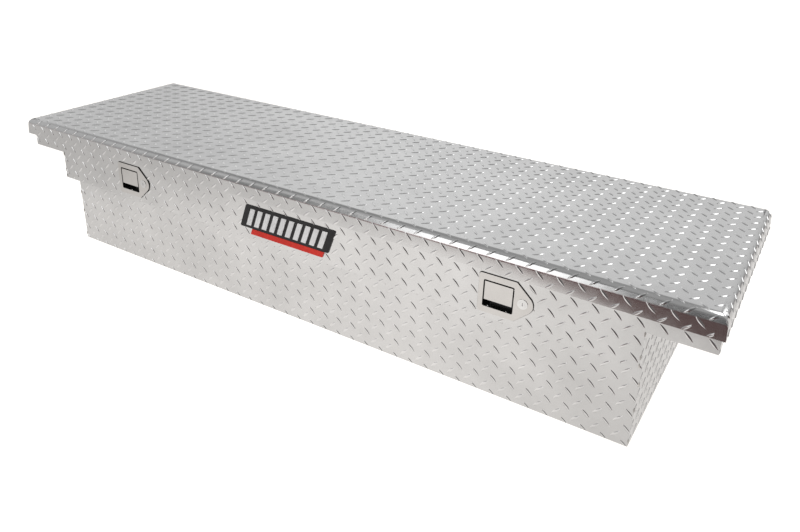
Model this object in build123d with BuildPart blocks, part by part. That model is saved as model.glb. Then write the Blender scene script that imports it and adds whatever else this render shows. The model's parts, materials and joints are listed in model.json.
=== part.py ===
"""Crossover truck tool box: tread-plate tub and lid, piano hinge, two paddle latches, two gas struts.

Frame: X runs along the box, Y from the latch side (front) to the hinge side (back), Z up.
The origin is at the centre of the underside of the overall box. Sizes are millimetres.
"""
import os
from math import acos, asin, atan2, cos, hypot, radians, sin, sqrt

from build123d import *

os.makedirs("parts", exist_ok=True)

# ---------------------------------------------------------------- overall sizes
LENGTH = 1765.0            # lid, end to end
DEPTH = 508.0              # lid, front to back
HEIGHT = 340.0             # floor of the tub to the top of the lid
SHEET = 1.6                # aluminium tread plate

# ---------------------------------------------------------------- tub
LID_SIDE_GAP = 5.9         # wing tip to the inside of the lid's end lip
WING_REACH = 113.0         # how far each end wing runs out over a bed rail
WING_DEPTH = 65.0          # rim down to the underside of the wing
LEDGE_STEP = 35.0          # the lower front stands this far behind the upper front
LEDGE_DROP = 106.0         # lid lip down to the ledge
FRONT_OVERHANG = 15.7      # inside of the lid's front lip to the upper front
RIM_WIDTH = 25.0           # rim flange, turned inwards
SEAL_HEIGHT = 10.0
SEAL_WIDTH = 12.0
SEAL_INSET = 6.0           # outer edge of the rim to the seal
SEAL_GAP = 0.3             # seal to the underside of the closed lid
RAIL_HOLE_R = 5.25         # hold-down bolt holes in the wing floors
RAIL_HOLE_SPACING = 300.0
WELD_LEG = 3.0
WELD_LENGTH = 25.0
WELD_COUNT = 3             # stitches in each vertical corner

# ---------------------------------------------------------------- lid
LIP_DROP = 42.0            # top of the lid to the lower edge of its lip
ROLL_R = 18.0              # rolled edge, front and ends
BACK_BEND_R = 3.0          # tight bend at the back edge
HAT_HEIGHT = 16.0
HAT_WIDTH = 50.0
HAT_FLANGE = 14.0
HAT_END_GAP = 50.0         # tub end to the end of a lid stiffener
REAR_HAT_SETBACK = 70.0    # back of the tub to the rear stiffener

# ---------------------------------------------------------------- hinge
KNUCKLE_R = 3.0
HINGE_CLEAR = 0.3          # knuckle to the sheet on either side
HINGE_PIN_R = 1.8
LEAF = 1.2
LEAF_HEIGHT = 22.0
LEAF_NOTCH = 0.4           # extra room round the other leaf's knuckles
KNUCKLE_PITCH = 50.0
KNUCKLE_END_GAP = 0.4
HINGE_END_INSET = 30.0     # hinge shorter than the lid at each end
LIP_BELOW_KNUCKLE = 0.5
RUN_FIT = 0.05             # radial clearance of a turning pin
RIVET_R = 1.6
RIVET_HEAD_R = 3.0
RIVET_HEAD = 1.1
RIVET_PITCH = 100.0
RIVET_HEIGHT = 14.0        # hinge axis up to the rivet line

# ---------------------------------------------------------------- latches
LATCH_INSET = 262.0        # tub end to the centre of a latch opening
LATCH_DROP = 53.5          # lid lip down to the centre of a latch opening
GASKET = 1.0
GASKET_LIP = 0.8           # gasket shows this far round the plate
PLATE = 1.5
PLATE_LEFT_BORDER = 9.5    # opening to the plate's square end
PLATE_BORDER = 12.25       # opening to the plate's upper and lower edges
PLATE_TAPER_BORDER = 3.5   # opening to where the taper starts
NOSE_R = 20.0
PLATE_CORNER_R = 5.0
OPENING_W = 61.0
OPENING_H = 55.5
OPENING_R = 3.0
POCKET_DEPTH = 18.0        # upper front to the back of the finger pocket
POCKET_WALL = 1.0
POCKET_FIT = 0.4
PADDLE_GAP = 2.8           # paddle to the sides of the opening
PADDLE_TOP_GAP = 3.2
FINGER_GAP = 14.5          # below the paddle
PADDLE_LIP = 4.0           # paddle's lower edge, turned in
PADDLE = 1.5
PADDLE_RECESS = 0.2        # paddle face behind the plate face
PADDLE_PIN_R = 1.6
PADDLE_PIN_DROP = 6.8      # top of the opening to the paddle's pin
PADDLE_PIN_Y = 2.4         # upper front to the paddle's pin
EAR = 1.5
EAR_R = 3.4
TANG_HALF = 3.0            # half width of the paddle's tang and of the claw
TANG = 3.0
TANG_REACH = 20.0
SPRING_WIRE_R = 0.5
SPRING_PITCH = 1.35
SPRING_TURNS = 7
SPRING_FIT = 0.35
CLAW_PIN_R = 3.0
PIN_PROUD = 1.0            # claw's pin past each cheek
CLAW_Y = 44.0              # upper front to the claw's pin
CLAW_HUB_R = 7.0
CLAW_ARM = 7.0
CLAW_TAIL = 24.5           # claw pin to the tip of its tail
CLAW_TAIL_RISE = 3.0       # claw pin up to the top of its tail
CLAW_TAIL_H = 6.1
CLAW_NOSE = 6.0            # thickness of the hook over the striker
CLAW_HOOK = 5.0            # how far the hook reaches past the striker's centre
TANG_FIT = 0.4             # paddle's tang to the claw's tail
STRIKER_R = 3.5
STRIKER_RISE = 30.0        # claw pin to the striker bar
STRIKER_HALF = 16.0        # half distance between the striker's legs
STRIKER_BEND = 6.0
STRIKER_FIT = 0.5          # claw to the striker bar
STRIKER_PLATE = 2.5
STRIKER_PLATE_W = 48.0
BRACKET = 2.0
BRACKET_HALF = 20.0
BRACKET_RIVET_X = 14.0
BRACKET_RIVET_EDGE = 5.0
BRACKET_RIVET_HEAD_R = 2.6
BRACKET_BELOW = 22.0       # claw pin down to the foot of the bracket
SLOT_BELOW = 16.0          # claw pin down to the foot of the tang's slot
SLOT_ABOVE = 1.5           # tang up to the top of its slot
CHEEK_BACK = 8.0           # claw pin to the back edge of a cheek
CHEEK_RISE = 8.0
CHEEK_GAP = 1.0            # claw to a bracket cheek, and tang to its slot
LOCK_HEAD_R = 10.0
LOCK_HEAD = 0.8
LOCK_R = 8.0
LOCK_FIT = 0.2
PLUG_R = 5.5
KEY_SLOT_W = 1.4
KEY_SLOT_L = 7.0
KEY_SLOT_DEPTH = 3.0
NUT_R = 11.5
NUT = 3.4
NUT_GAP = 5.0              # lock nut to the finger pocket
CAM = 2.4
CAM_WIDTH = 9.0
CAM_LENGTH = 24.0
CAM_GAP = 0.6              # back of the barrel to the cam

# ---------------------------------------------------------------- badge
BADGE_W = 246.0
BADGE_H = 56.0
BADGE_SLANT = 20.0         # top edge leads the bottom edge by this much
BADGE_BASE = 2.0
BADGE_CORNER_R = 3.0
BADGE_RISE = 2.5           # opening centre up to the middle of the badge
BADGE_BAR = 1.4
BADGE_BAR_W = 13.0
BADGE_BAR_COUNT = 10
BADGE_BORDER = 7.0
STRIPE_W = 200.0
STRIPE_H = 13.5
STRIPE_GAP = 0.5           # badge field to the stripe under it
STRIPE_THICK = 2.6

# ---------------------------------------------------------------- gas struts
STRUT_ARM = 200.0          # hinge axis to each strut pivot, the same for both
STRUT_PIVOT_RISE = 12.0    # hinge axis up to the lid pivot
STRUT_BACK_GAP = 50.48     # body pivot to the rear sheet
STRUT_INSET = 18.5         # inside of the tub end to the strut's centre line
TUBE_R = 9.0
TUBE_WALL = 2.0
TUBE_START = 12.0          # body pivot to the closed end of the tube
GLAND = 6.0
ROD_R = 4.0
PISTON_FIT = 0.15
PISTON = 8.0
PISTON_STOP_GAP = 4.0      # piston to the gland with the lid fully open
PISTON_FOOT_GAP = 16.6     # piston to the closed end of the bore with the lid shut
LID_OPEN = 75.0            # degrees
EYE_R = 8.0
EYE_HALF = 4.0
NECK_R = 4.5
STUD_R = 4.0
STUD_COLLAR_R = 6.0
STUD_CAP_R = 6.0
STUD_CAP = 1.5
STUD_SIDE_GAP = 0.5
LID_BRACKET_GAP = 1.0      # lid bracket to the plane of the tub end
LID_BRACKET_FOOT = 24.0
MOUNT_PLATE = 2.5
MOUNT_PLATE_SIZE = 40.0

CUT = 1.0                  # how far a cut runs past the face it opens, and a joined piece sinks in

# ---------------------------------------------------------------- derived places
LIP_Z = HEIGHT - LIP_DROP
LID_UNDER = HEIGHT - SHEET
RIM_TOP = LID_UNDER - SEAL_GAP - SEAL_HEIGHT
WING_Z = RIM_TOP - WING_DEPTH
LEDGE_Z = LIP_Z - LEDGE_DROP
WING_TIP = LENGTH / 2 - SHEET - LID_SIDE_GAP
TUB_HALF = WING_TIP - WING_REACH
TUB_END_IN = TUB_HALF - SHEET
FRONT_Y = -DEPTH / 2 + SHEET + FRONT_OVERHANG
LOWER_Y = FRONT_Y + LEDGE_STEP
HINGE_GAP = 2 * (KNUCKLE_R + HINGE_CLEAR)
BACK_Y = DEPTH / 2 - SHEET - HINGE_GAP
HINGE_Y = BACK_Y + KNUCKLE_R + HINGE_CLEAR
HINGE_Z = LIP_Z + LIP_BELOW_KNUCKLE + KNUCKLE_R
LATCH_X = TUB_HALF - LATCH_INSET
LATCH_Z = LIP_Z - LATCH_DROP
OPENING_TOP = LATCH_Z + OPENING_H / 2
PLATE_LEFT = OPENING_W / 2 + PLATE_LEFT_BORDER
PLATE_HALF = OPENING_H / 2 + PLATE_BORDER
PLATE_FLAT = OPENING_W / 2 + PLATE_TAPER_BORDER
NOSE_X = OPENING_W / 2 + POCKET_WALL + NUT_GAP + NUT_R
PLATE_FACE_Y = FRONT_Y - GASKET - PLATE
SIDES = (("left", -1), ("right", 1))


def save(part, name):
    """Label a finished solid or group and write its STEP file."""
    part.label = name
    export_step(part, f"parts/{name}.step")


def at(x, y, z):
    """Axis-aligned place for a primitive."""
    return Location((x, y, z))


def block(x0, x1, y0, y1, z0, z1, mode=Mode.ADD):
    """Box given by its two corners."""
    with Locations(at((x0 + x1) / 2, (y0 + y1) / 2, (z0 + z1) / 2)):
        Box(x1 - x0, y1 - y0, z1 - z0, mode=mode)


def rod_x(x0, x1, y, z, radius, mode=Mode.ADD):
    """Round bar along X."""
    with Locations(Location(((x0 + x1) / 2, y, z), (0, 90, 0))):
        Cylinder(radius, x1 - x0, mode=mode)


def rod_y(x, y0, y1, z, radius, mode=Mode.ADD):
    """Round bar along Y."""
    with Locations(Location((x, (y0 + y1) / 2, z), (90, 0, 0))):
        Cylinder(radius, y1 - y0, mode=mode)


def rod_z(x, y, z0, z1, radius, mode=Mode.ADD):
    """Round bar along Z."""
    with Locations(at(x, y, (z0 + z1) / 2)):
        Cylinder(radius, z1 - z0, mode=mode)


def facing(x, y, z):
    """Plane that looks out of the front of the box, its origin at a point."""
    return Plane(origin=(x, y, z), x_dir=(1, 0, 0), z_dir=(0, -1, 0))


# ================================================================ tub sheets
# front: upper face with the wing fronts, the ledge under it, and the set-back lower face
with BuildPart() as front_sheet:
    block(-WING_TIP, WING_TIP, FRONT_Y, FRONT_Y + SHEET, WING_Z, RIM_TOP)
    block(-TUB_HALF, TUB_HALF, FRONT_Y, FRONT_Y + SHEET, LEDGE_Z, WING_Z)
    block(-TUB_HALF, TUB_HALF, FRONT_Y, LOWER_Y + SHEET, LEDGE_Z, LEDGE_Z + SHEET)
    block(-TUB_HALF, TUB_HALF, LOWER_Y, LOWER_Y + SHEET, 0, LEDGE_Z + SHEET)
    for name, side in SIDES:
        x = side * LATCH_X
        half_w = OPENING_W / 2 + POCKET_WALL + POCKET_FIT
        half_h = OPENING_H / 2 + POCKET_WALL + POCKET_FIT
        block(x - half_w, x + half_w, FRONT_Y - CUT, FRONT_Y + SHEET + CUT,
              LATCH_Z - half_h, LATCH_Z + half_h, Mode.SUBTRACT)
        rod_y(x + NOSE_X, FRONT_Y - CUT, FRONT_Y + SHEET + CUT, LATCH_Z, LOCK_R + LOCK_FIT, Mode.SUBTRACT)
save(front_sheet.part, "front_sheet")

# tub floor between the lower front and the back
with BuildPart() as bottom_sheet:
    block(-TUB_HALF, TUB_HALF, LOWER_Y + SHEET, BACK_Y - SHEET, 0, SHEET)
save(bottom_sheet.part, "bottom_sheet")

HINGE_HALF = LENGTH / 2 - HINGE_END_INSET
RIVET_COUNT = int(2 * (HINGE_HALF - RIVET_PITCH / 4) // RIVET_PITCH)
RIVET_XS = [(i - (RIVET_COUNT - 1) / 2) * RIVET_PITCH for i in range(RIVET_COUNT)]
RIVET_Z = HINGE_Z + RIVET_HEIGHT

with BuildPart() as rear_sheet:
    block(-WING_TIP, WING_TIP, BACK_Y - SHEET, BACK_Y, WING_Z, RIM_TOP)
    block(-TUB_HALF, TUB_HALF, BACK_Y - SHEET, BACK_Y, 0, WING_Z)
    for x in RIVET_XS:
        rod_y(x, BACK_Y - SHEET - CUT, BACK_Y + CUT, RIVET_Z, RIVET_R, Mode.SUBTRACT)
save(rear_sheet.part, "rear_sheet")

# end sheets: tub end, wing floor and wing tip bent from one piece, notched for the ledge
RAIL_HOLE_X = (TUB_HALF + WING_TIP) / 2
for name, side in SIDES:
    with BuildPart() as end_sheet:
        y0 = FRONT_Y + SHEET
        y1 = BACK_Y - SHEET
        lo, hi = sorted((side * (TUB_HALF - SHEET), side * TUB_HALF))
        block(lo, hi, y0, y1, LEDGE_Z + SHEET, WING_Z + SHEET)
        block(lo, hi, LOWER_Y + SHEET, y1, SHEET, LEDGE_Z + SHEET)
        lo, hi = sorted((side * (TUB_HALF - SHEET), side * WING_TIP))
        block(lo, hi, y0, y1, WING_Z, WING_Z + SHEET)
        lo, hi = sorted((side * (WING_TIP - SHEET), side * WING_TIP))
        block(lo, hi, y0, y1, WING_Z, RIM_TOP)
        for y in (-RAIL_HOLE_SPACING / 2, RAIL_HOLE_SPACING / 2):
            rod_z(side * RAIL_HOLE_X, y, WING_Z - CUT, WING_Z + SHEET + CUT, RAIL_HOLE_R, Mode.SUBTRACT)
    save(end_sheet.part, f"end_sheet_{name}")

# rim flange: a flat ring turned in from the top of the tub
with BuildPart() as rim_flange:
    x_out = WING_TIP - SHEET
    y_front = FRONT_Y + SHEET
    y_back = BACK_Y - SHEET
    block(-x_out, x_out, y_front, y_back, RIM_TOP - SHEET, RIM_TOP)
    inner = RIM_WIDTH - SHEET
    block(-x_out + inner, x_out - inner, y_front + inner, y_back - inner,
          RIM_TOP - SHEET - CUT, RIM_TOP + CUT, Mode.SUBTRACT)
save(rim_flange.part, "rim_flange")

with BuildPart() as rim_seal:
    x_out = WING_TIP - SEAL_INSET
    y_front = FRONT_Y + SEAL_INSET
    y_back = BACK_Y - SEAL_INSET
    seal_top = RIM_TOP + SEAL_HEIGHT
    block(-x_out, x_out, y_front, y_back, RIM_TOP, seal_top)
    seal_outer = rim_seal.part.edges().group_by(Axis.Z)[-1]
    fillet(seal_outer, SEAL_WIDTH / 4)
    block(-x_out + SEAL_WIDTH, x_out - SEAL_WIDTH, y_front + SEAL_WIDTH, y_back - SEAL_WIDTH,
          RIM_TOP - CUT, seal_top + CUT, Mode.SUBTRACT)
save(rim_seal.part, "rim_seal")

# stitch welds inside the four vertical corners of the tub
with BuildPart() as corner_welds:
    weld_room = LEDGE_Z - 2 * WELD_LENGTH
    for x_side in (-1, 1):
        for y_corner, y_dir in ((LOWER_Y + SHEET, 1), (BACK_Y - SHEET, -1)):
            x_corner = x_side * (TUB_HALF - SHEET)
            for i in range(WELD_COUNT):
                z = WELD_LENGTH / 2 + weld_room * i / (WELD_COUNT - 1)
                with BuildSketch(Plane.XY.offset(z)):
                    with BuildLine():
                        Polyline((x_corner, y_corner), (x_corner - x_side * WELD_LEG, y_corner),
                                 (x_corner, y_corner + y_dir * WELD_LEG), close=True)
                    make_face()
                extrude(amount=WELD_LENGTH)
save(corner_welds.part, "corner_welds")

# ================================================================ lid
with BuildPart() as lid_outside:
    block(-LENGTH / 2, LENGTH / 2, -DEPTH / 2, DEPTH / 2, LIP_Z, HEIGHT)
    top_edges = lid_outside.part.edges().group_by(Axis.Z)[-1]
    back_edge = top_edges.sort_by(Axis.Y)[-1]
    fillet(top_edges - [back_edge], ROLL_R)
    back_edge = lid_outside.part.faces().sort_by(Axis.Z)[-1].edges().sort_by(Axis.Y)[-1]
    fillet(back_edge, BACK_BEND_R)

with BuildPart() as lid_inside:
    block(-LENGTH / 2 + SHEET, LENGTH / 2 - SHEET, -DEPTH / 2 + SHEET, DEPTH / 2 - SHEET,
          LIP_Z - SHEET, LID_UNDER)
    top_edges = lid_inside.part.edges().group_by(Axis.Z)[-1]
    back_edge = top_edges.sort_by(Axis.Y)[-1]
    fillet(top_edges - [back_edge], ROLL_R - SHEET)
    back_edge = lid_inside.part.faces().sort_by(Axis.Z)[-1].edges().sort_by(Axis.Y)[-1]
    fillet(back_edge, BACK_BEND_R - SHEET)

with BuildPart() as lid_skin:
    add(lid_outside.part)
    add(lid_inside.part, mode=Mode.SUBTRACT)
    for x in RIVET_XS:
        rod_y(x, DEPTH / 2 - SHEET - CUT, DEPTH / 2 + CUT, RIVET_Z, RIVET_R, Mode.SUBTRACT)
save(lid_skin.part, "lid_skin")

HAT_HALF = TUB_HALF - HAT_END_GAP


def hat_channel(y0):
    """Hat-section stiffener under the lid, its crown facing down, its front flange starting at y0."""
    y1 = y0 + HAT_WIDTH
    low = LID_UNDER - HAT_HEIGHT
    block(-HAT_HALF, HAT_HALF, y0, y0 + HAT_FLANGE, LID_UNDER - SHEET, LID_UNDER)
    block(-HAT_HALF, HAT_HALF, y1 - HAT_FLANGE, y1, LID_UNDER - SHEET, LID_UNDER)
    block(-HAT_HALF, HAT_HALF, y0 + HAT_FLANGE - SHEET, y0 + HAT_FLANGE, low, LID_UNDER)
    block(-HAT_HALF, HAT_HALF, y1 - HAT_FLANGE, y1 - HAT_FLANGE + SHEET, low, LID_UNDER)
    block(-HAT_HALF, HAT_HALF, y0 + HAT_FLANGE - SHEET, y1 - HAT_FLANGE + SHEET, low, low + SHEET)


FRONT_HAT_Y = FRONT_Y + CLAW_Y - HAT_WIDTH / 2
with BuildPart() as lid_front_stiffener:
    hat_channel(FRONT_HAT_Y)
save(lid_front_stiffener.part, "lid_front_stiffener")

with BuildPart() as lid_rear_stiffener:
    hat_channel(BACK_Y - REAR_HAT_SETBACK - HAT_WIDTH)
save(lid_rear_stiffener.part, "lid_rear_stiffener")

# ================================================================ hinge
KNUCKLE_COUNT = int(2 * HINGE_HALF // KNUCKLE_PITCH)
KNUCKLE_STARTS = [(i - KNUCKLE_COUNT / 2) * KNUCKLE_PITCH for i in range(KNUCKLE_COUNT)]
HINGE_END = KNUCKLE_COUNT * KNUCKLE_PITCH / 2


def hinge_leaf(leaf_y0, leaf_y1, own, bore):
    """Leaf with every second knuckle; own is 0 or 1 and says which knuckles it carries."""
    clear = KNUCKLE_R + LEAF_NOTCH
    block(-HINGE_END, HINGE_END, leaf_y0, leaf_y1, HINGE_Z + clear, HINGE_Z + LEAF_HEIGHT)
    for i, x0 in enumerate(KNUCKLE_STARTS):
        if i % 2 == own:
            a = x0 + KNUCKLE_END_GAP / 2
            b = x0 + KNUCKLE_PITCH - KNUCKLE_END_GAP / 2
            block(a, b, leaf_y0, leaf_y1, HINGE_Z, HINGE_Z + clear)
            rod_x(a, b, HINGE_Y, HINGE_Z, KNUCKLE_R)
    rod_x(-HINGE_END - CUT, HINGE_END + CUT, HINGE_Y, HINGE_Z, bore, Mode.SUBTRACT)
    for x in RIVET_XS:
        rod_y(x, leaf_y0 - CUT, leaf_y1 + CUT, RIVET_Z, RIVET_R, Mode.SUBTRACT)


with BuildPart() as hinge_body_leaf:
    hinge_leaf(BACK_Y, BACK_Y + LEAF, 0, HINGE_PIN_R)
save(hinge_body_leaf.part, "hinge_body_leaf")

with BuildPart() as hinge_lid_leaf:
    hinge_leaf(DEPTH / 2 - SHEET - LEAF, DEPTH / 2 - SHEET, 1, HINGE_PIN_R + RUN_FIT)
save(hinge_lid_leaf.part, "hinge_lid_leaf")

with BuildPart() as hinge_pin:
    rod_x(-HINGE_END, HINGE_END, HINGE_Y, HINGE_Z, HINGE_PIN_R)
save(hinge_pin.part, "hinge_pin")

# tub side rivets: domed head on the leaf, formed head inside the tub
with BuildPart() as hinge_body_rivets:
    for x in RIVET_XS:
        rod_y(x, BACK_Y - SHEET, BACK_Y + LEAF, RIVET_Z, RIVET_R)
        rod_y(x, BACK_Y + LEAF, BACK_Y + LEAF + RIVET_HEAD, RIVET_Z, RIVET_HEAD_R)
        rod_y(x, BACK_Y - SHEET - RIVET_HEAD, BACK_Y - SHEET, RIVET_Z, RIVET_HEAD_R)
save(hinge_body_rivets.part, "hinge_body_rivets")

# lid side rivets: flush in the lip, head on the leaf inside
with BuildPart() as hinge_lid_rivets:
    leaf_in = DEPTH / 2 - SHEET - LEAF
    for x in RIVET_XS:
        rod_y(x, leaf_in, DEPTH / 2, RIVET_Z, RIVET_R)
        rod_y(x, leaf_in - RIVET_HEAD, leaf_in, RIVET_Z, RIVET_HEAD_R)
save(hinge_lid_rivets.part, "hinge_lid_rivets")

# ================================================================ latches
PADDLE_PIN_Z = OPENING_TOP - PADDLE_PIN_DROP
PADDLE_AXIS_Y = FRONT_Y + PADDLE_PIN_Y
TANG_UNDER = PADDLE_PIN_Z - TANG / 2
CLAW_AXIS_Y = FRONT_Y + CLAW_Y
CLAW_AXIS_Z = TANG_UNDER - TANG_FIT - CLAW_TAIL_RISE
STRIKER_Z = CLAW_AXIS_Z + STRIKER_RISE
POCKET_Y = FRONT_Y + POCKET_DEPTH
PLATE_BACK_Y = FRONT_Y - GASKET
BRACKET_Y = POCKET_Y + BRACKET
BRACKET_LOW = CLAW_AXIS_Z - BRACKET_BELOW
SLOT_HALF = TANG_HALF + CHEEK_GAP
SLOT_LOW = CLAW_AXIS_Z - SLOT_BELOW
SLOT_HIGH = PADDLE_PIN_Z + TANG / 2 + SLOT_ABOVE
CHEEK_OUT = SLOT_HALF + BRACKET
BRACKET_RIVETS = [
    (sx * BRACKET_RIVET_X, z)
    for sx in (-1, 1)
    for z in (BRACKET_LOW + BRACKET_RIVET_EDGE, OPENING_TOP - BRACKET_RIVET_EDGE)
]
CAM_Y = POCKET_Y + CAM_GAP


def shield_face(x, grow):
    """Latch plate outline: square on the left, straight tapers to a round nose on the right."""
    half = PLATE_HALF + grow
    nose = NOSE_R + grow
    left = x - PLATE_LEFT - grow
    flat = x + PLATE_FLAT
    nose_x = x + NOSE_X
    lift = atan2(half, flat - nose_x) - acos(nose / hypot(half, flat - nose_x))
    touch_x = nose_x + nose * cos(lift)
    touch_z = nose * sin(lift)
    with BuildLine() as outline:
        Polyline((touch_x, LATCH_Z + touch_z), (flat, LATCH_Z + half), (left, LATCH_Z + half),
                 (left, LATCH_Z - half), (flat, LATCH_Z - half), (touch_x, LATCH_Z - touch_z))
        ThreePointArc((touch_x, LATCH_Z - touch_z), (nose_x + nose, LATCH_Z),
                      (touch_x, LATCH_Z + touch_z))
    make_face(outline.edges())


def opening_block(x, y0, y1, grow, mode=Mode.ADD):
    """Rounded rectangular block on a latch opening's centre, from y0 back to y1."""
    with BuildSketch(facing(x, y1, LATCH_Z)) as outline:
        RectangleRounded(OPENING_W + 2 * grow, OPENING_H + 2 * grow, OPENING_R + grow)
    extrude(outline.sketch, amount=y1 - y0, mode=mode)


for name, side in SIDES:
    x = side * LATCH_X

    # foam gasket between the plate and the front sheet
    with BuildPart() as latch_gasket:
        with BuildSketch(Plane.XZ.offset(-FRONT_Y)) as gasket_outline:
            shield_face(x, GASKET_LIP)
            fillet(gasket_outline.vertices().group_by(Axis.X)[0], PLATE_CORNER_R)
        extrude(amount=GASKET)
        opening_block(x, FRONT_Y - GASKET - CUT, FRONT_Y + CUT, POCKET_WALL, Mode.SUBTRACT)
        rod_y(x + NOSE_X, FRONT_Y - GASKET - CUT, FRONT_Y + CUT, LATCH_Z, LOCK_R, Mode.SUBTRACT)
    save(latch_gasket.part, f"latch_gasket_{name}")

    # shield plate and finger pocket, drawn in one piece
    with BuildPart() as latch_pan:
        with BuildSketch(Plane.XZ.offset(-PLATE_BACK_Y)) as plate_outline:
            shield_face(x, 0)
            fillet(plate_outline.vertices().group_by(Axis.X)[0], PLATE_CORNER_R)
        extrude(amount=PLATE)
        opening_block(x, PLATE_BACK_Y - PLATE / 2, POCKET_Y, POCKET_WALL)
        opening_block(x, PLATE_FACE_Y - CUT, POCKET_Y - POCKET_WALL, 0, Mode.SUBTRACT)
        block(x - SLOT_HALF, x + SLOT_HALF, POCKET_Y - POCKET_WALL - CUT, POCKET_Y + CUT,
              SLOT_LOW, SLOT_HIGH, Mode.SUBTRACT)
        for dx, z in BRACKET_RIVETS:
            rod_y(x + dx, POCKET_Y - POCKET_WALL - CUT, POCKET_Y + CUT, z, RIVET_R, Mode.SUBTRACT)
        rod_x(x - OPENING_W, x + OPENING_W, PADDLE_AXIS_Y, PADDLE_PIN_Z, PADDLE_PIN_R, Mode.SUBTRACT)
        rod_y(x + NOSE_X, PLATE_FACE_Y - CUT, FRONT_Y + CUT, LATCH_Z, LOCK_R, Mode.SUBTRACT)
    save(latch_pan.part, f"latch_pan_{name}")

    # bracket behind the pocket: base with two cheeks that carry the claw's pin
    with BuildPart() as latch_bracket:
        block(x - BRACKET_HALF, x + BRACKET_HALF, POCKET_Y, BRACKET_Y, BRACKET_LOW, OPENING_TOP)
        block(x - SLOT_HALF, x + SLOT_HALF, POCKET_Y - CUT, BRACKET_Y + CUT, SLOT_LOW, SLOT_HIGH,
              Mode.SUBTRACT)
        for cheek_side in (-1, 1):
            lo, hi = sorted((x + cheek_side * SLOT_HALF, x + cheek_side * CHEEK_OUT))
            block(lo, hi, BRACKET_Y, CLAW_AXIS_Y + CHEEK_BACK,
                  CLAW_AXIS_Z - CHEEK_RISE, CLAW_AXIS_Z + CHEEK_RISE)
        rod_x(x - BRACKET_HALF, x + BRACKET_HALF, CLAW_AXIS_Y, CLAW_AXIS_Z, CLAW_PIN_R, Mode.SUBTRACT)
        for dx, z in BRACKET_RIVETS:
            rod_y(x + dx, POCKET_Y - CUT, BRACKET_Y + CUT, z, RIVET_R, Mode.SUBTRACT)
    save(latch_bracket.part, f"latch_bracket_{name}")

    with BuildPart() as latch_rivets:
        for dx, z in BRACKET_RIVETS:
            inner = POCKET_Y - POCKET_WALL
            rod_y(x + dx, inner, BRACKET_Y, z, RIVET_R)
            rod_y(x + dx, inner - RIVET_HEAD, inner, z, BRACKET_RIVET_HEAD_R)
            rod_y(x + dx, BRACKET_Y, BRACKET_Y + RIVET_HEAD, z, BRACKET_RIVET_HEAD_R)
    save(latch_rivets.part, f"latch_rivets_{name}")

    with BuildPart() as claw_pin:
        rod_x(x - CHEEK_OUT - PIN_PROUD, x + CHEEK_OUT + PIN_PROUD, CLAW_AXIS_Y, CLAW_AXIS_Z, CLAW_PIN_R)
    save(claw_pin.part, f"claw_pin_{name}")

    with BuildPart() as paddle_pin:
        pin_half = OPENING_W / 2 + POCKET_WALL
        rod_x(x - pin_half, x + pin_half, PADDLE_AXIS_Y, PADDLE_PIN_Z, PADDLE_PIN_R)
    save(paddle_pin.part, f"paddle_pin_{name}")

    # return spring, wound round the paddle's pin beside its hub
    with BuildPart() as paddle_spring:
        coil_r = PADDLE_PIN_R + SPRING_FIT + SPRING_WIRE_R
        coil_start = (x + TANG_HALF + 2 * SPRING_PITCH, PADDLE_AXIS_Y, PADDLE_PIN_Z)
        with BuildLine() as coil:
            Helix(SPRING_PITCH, SPRING_PITCH * SPRING_TURNS, coil_r, center=coil_start,
                  direction=(1, 0, 0))
        with BuildSketch(Plane(origin=coil.line @ 0, z_dir=coil.line % 0)):
            Circle(SPRING_WIRE_R)
        sweep(path=coil.line)
    save(paddle_spring.part, f"paddle_spring_{name}")

    # paddle: flat plate with two ears, a hub and the tang that works the claw
    with BuildPart() as paddle:
        half = OPENING_W / 2 - PADDLE_GAP
        face_y = PLATE_FACE_Y + PADDLE_RECESS
        back_y = face_y + PADDLE
        low = OPENING_TOP - OPENING_H + FINGER_GAP
        block(x - half, x + half, face_y, back_y, low, OPENING_TOP - PADDLE_TOP_GAP)
        block(x - half, x + half, back_y, back_y + PADDLE_LIP, low, low + PADDLE)
        for x0, x1 in ((x - half, x - half + EAR), (x - TANG_HALF, x + TANG_HALF),
                       (x + half - EAR, x + half)):
            rod_x(x0, x1, PADDLE_AXIS_Y, PADDLE_PIN_Z, EAR_R)
            block(x0, x1, back_y - PADDLE / 2, PADDLE_AXIS_Y, PADDLE_PIN_Z - EAR_R, PADDLE_PIN_Z)
        block(x - TANG_HALF, x + TANG_HALF, PADDLE_AXIS_Y, PADDLE_AXIS_Y + TANG_REACH,
              TANG_UNDER, TANG_UNDER + TANG)
        rod_x(x - half - CUT, x + half + CUT, PADDLE_AXIS_Y, PADDLE_PIN_Z, PADDLE_PIN_R + RUN_FIT,
              Mode.SUBTRACT)
    save(paddle.part, f"paddle_{name}")

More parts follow.
